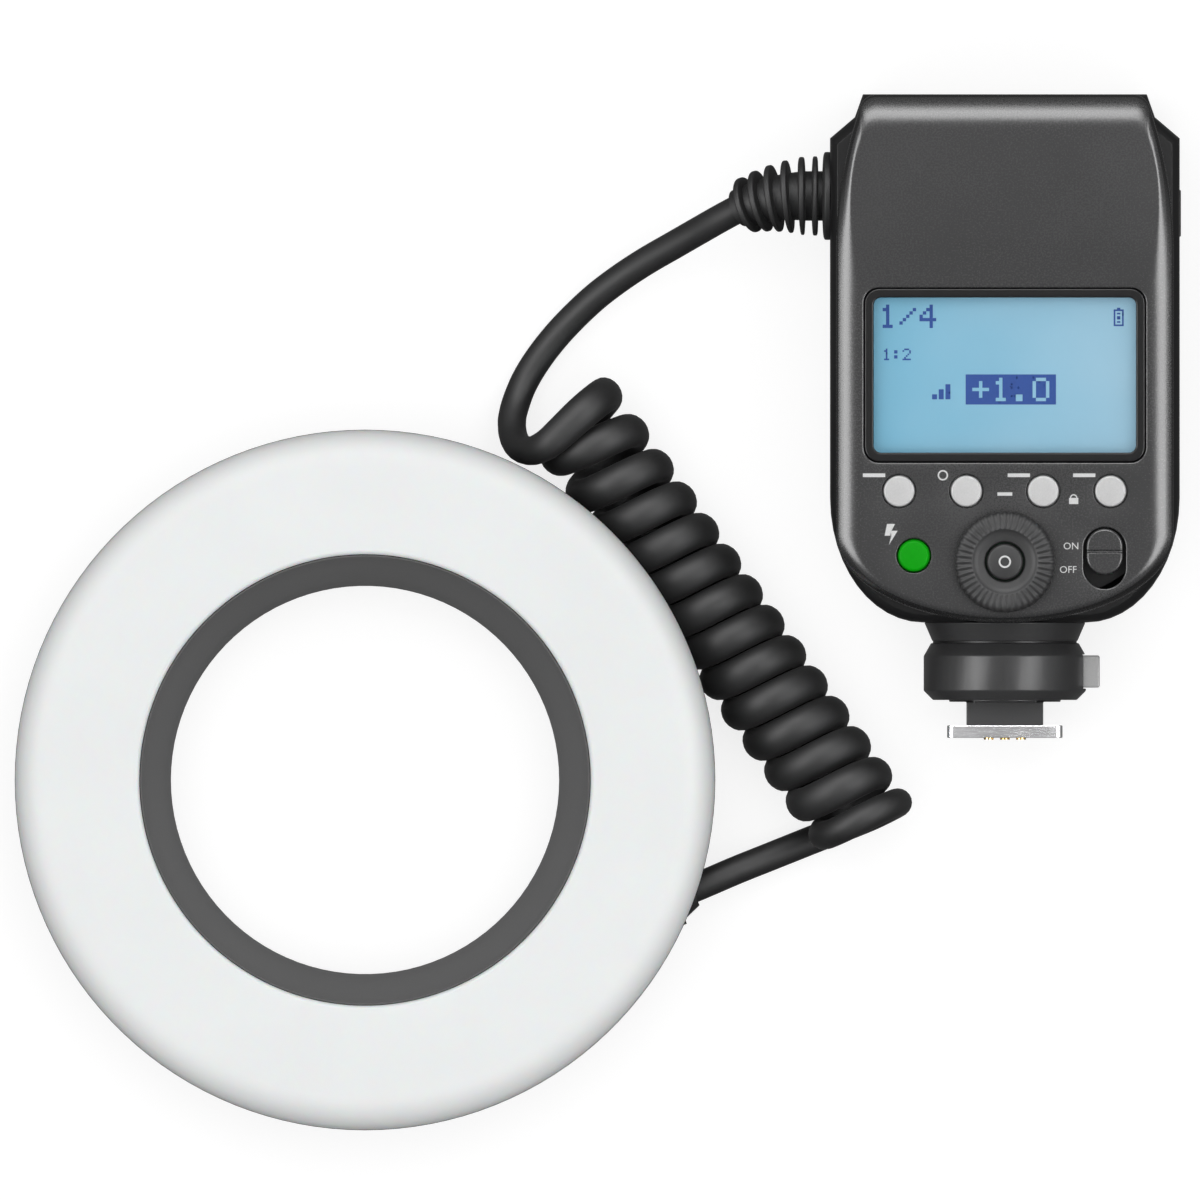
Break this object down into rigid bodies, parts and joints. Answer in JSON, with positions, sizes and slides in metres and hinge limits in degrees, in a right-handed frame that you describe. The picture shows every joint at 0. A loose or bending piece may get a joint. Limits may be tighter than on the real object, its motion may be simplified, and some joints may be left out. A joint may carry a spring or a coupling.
{
  "type": "macro ring flash",
  "caption": "Ring flash for close-up photography: a diffused ring head that clips on a lens by sprung latches, a control unit with display, dial and locking shoe foot, and a curly cord between",
  "frame": {"origin": "on the ring head's axis, in the plane of its rear face, where the lens adapter seats", "axes": "+Z out of the diffuser and the control panel, up from the table it lies on; +X from the ring head to the control unit; +Y along the unit, from its foot to its top"},
  "size_m": [0.1881, 0.1671, 0.045],
  "materials": {
    "shell_black": "moulded, finely textured",
    "panel_grey": "satin, finely textured",
    "cone_grey": "satin",
    "diffuser_white": "milky, softly frosted",
    "reflector_bright": "bright rolled sheet",
    "tube_glass": "clear",
    "holder_rubber": "translucent silicone",
    "board_green": "lacquered laminate",
    "winding_brown": "varnished winding",
    "latch_black": "moulded, satin",
    "spring_steel": "drawn wire",
    "screw_dark": "blackened",
    "cord_rubber": "smooth matt sheath",
    "sleeve_navy": "shrink sleeve",
    "contact_gold": "plated",
    "bezel_black": "glossy",
    "window_clear": "clear",
    "display_blue": "back-lit, pale blue",
    "key_grey": "moulded, light grey",
    "test_green": "translucent green",
    "foot_silver": "plated, brushed",
    "tab_grey": "moulded, mid grey"
  },
  "bodies": {
    "frame": {"head_housing": "shell_black", "inner_cone": "cone_grey", "diffuser": "diffuser_white", "reflector": "reflector_bright", "flash_tube_a": "tube_glass", "flash_tube_b": "tube_glass", "tube_holders": "holder_rubber", "trigger_board": "board_green", "trigger_parts": "winding_brown", "latch_cover": "shell_black", "latch_spring_upper": "spring_steel", "latch_spring_lower": "spring_steel", "head_screws": "screw_dark", "head_gland": "cord_rubber", "cord_upper": "cord_rubber", "cord_coil": "cord_rubber", "cord_lower": "cord_rubber", "cord_boot": "cord_rubber", "front_shell": "shell_black", "panel_shell": "panel_grey", "chassis": "latch_black", "main_board": "board_green", "power_board": "board_green", "transformer": "winding_brown", "flash_capacitor": "sleeve_navy", "battery_contacts": "contact_gold", "shell_screws": "screw_dark", "lcd_bezel": "bezel_black", "lcd_window": "window_clear", "lcd_module": "display_blue", "keypad_mat": "holder_rubber", "encoder": "bezel_black", "power_switch": "bezel_black", "foot_neck": "shell_black", "foot_plate": "foot_silver", "contact_block": "bezel_black", "contact_pins": "contact_gold"},
    "latch_upper": {"latch_upper": "latch_black"},
    "latch_lower": {"latch_lower": "latch_black"},
    "key_1": {"key_1": "key_grey"},
    "key_2": {"key_2": "key_grey"},
    "key_3": {"key_3": "key_grey"},
    "key_4": {"key_4": "key_grey"},
    "test_button": {"test_button": "test_green"},
    "dial": {"dial": "latch_black"},
    "set_button": {"set_button": "latch_black"},
    "power_slider": {"power_slider": "latch_black"},
    "battery_pack": {"battery_pack": "latch_black"},
    "battery_release": {"battery_release": "latch_black"},
    "lock_collar": {"lock_collar": "latch_black"},
    "lock_release": {"lock_release": "tab_grey"},
    "lock_pin": {"lock_pin": "spring_steel"}
  },
  "joints": [
    {"name": "latch_upper_press", "type": "slide", "parent": "frame", "child": "latch_upper", "axis": [0, -1, 0], "range_m": [0, 0.0015], "stiffness_N_per_m": 1500, "springref_m": -0.001, "deforming": ["latch_spring_upper"]},
    {"name": "latch_lower_press", "type": "slide", "parent": "frame", "child": "latch_lower", "axis": [0, 1, 0], "range_m": [0, 0.0015], "stiffness_N_per_m": 1500, "springref_m": -0.001, "deforming": ["latch_spring_lower"]},
    {"name": "key_1_press", "type": "slide", "parent": "frame", "child": "key_1", "axis": [0, 0, -1], "range_m": [0, 0.0007], "stiffness_N_per_m": 1200, "springref_m": -0.0005},
    {"name": "key_2_press", "type": "slide", "parent": "frame", "child": "key_2", "axis": [0, 0, -1], "range_m": [0, 0.0007], "stiffness_N_per_m": 1200, "springref_m": -0.0005},
    {"name": "key_3_press", "type": "slide", "parent": "frame", "child": "key_3", "axis": [0, 0, -1], "range_m": [0, 0.0007], "stiffness_N_per_m": 1200, "springref_m": -0.0005},
    {"name": "key_4_press", "type": "slide", "parent": "frame", "child": "key_4", "axis": [0, 0, -1], "range_m": [0, 0.0007], "stiffness_N_per_m": 1200, "springref_m": -0.0005},
    {"name": "test_press", "type": "slide", "parent": "frame", "child": "test_button", "axis": [0, 0, -1], "range_m": [0, 0.0007], "stiffness_N_per_m": 1200, "springref_m": -0.0005},
    {"name": "dial_turn", "type": "hinge", "parent": "frame", "child": "dial", "pos_m": [0.1032, 0.0352, 0.042], "axis": [0, 0, 1], "continuous": true},
    {"name": "set_press", "type": "slide", "parent": "frame", "child": "set_button", "axis": [0, 0, -1], "range_m": [0, 0.0006], "stiffness_N_per_m": 1200, "springref_m": -0.0005},
    {"name": "power_slide", "type": "slide", "parent": "frame", "child": "power_slider", "axis": [0, -1, 0], "range_m": [0, 0.0021]},
    {"name": "battery_slide", "type": "slide", "parent": "frame", "child": "battery_pack", "axis": [1, 0, 0], "range_m": [0, 0.052]},
    {"name": "battery_release_press", "type": "slide", "parent": "frame", "child": "battery_release", "axis": [-1, 0, 0], "range_m": [0, 0.001], "stiffness_N_per_m": 1200, "springref_m": -0.0005},
    {"name": "lock_turn", "type": "hinge", "parent": "frame", "child": "lock_collar", "pos_m": [0.1032, 0.0175, 0.017], "axis": [0, -1, 0], "range_deg": [0, 60]},
    {"name": "lock_release_press", "type": "slide", "parent": "lock_collar", "child": "lock_release", "axis": [-1, 0, 0], "range_m": [0, 0.0012], "stiffness_N_per_m": 1200, "springref_m": -0.0005},
    {"name": "lock_pin_drop", "type": "slide", "parent": "frame", "child": "lock_pin", "axis": [0, -1, 0], "range_m": [0, 0.0015]}
  ],
  "couplings": [
    {"joint": "lock_pin_drop", "follows": "lock_turn", "m_per_rad": 0.001432}
  ]
}
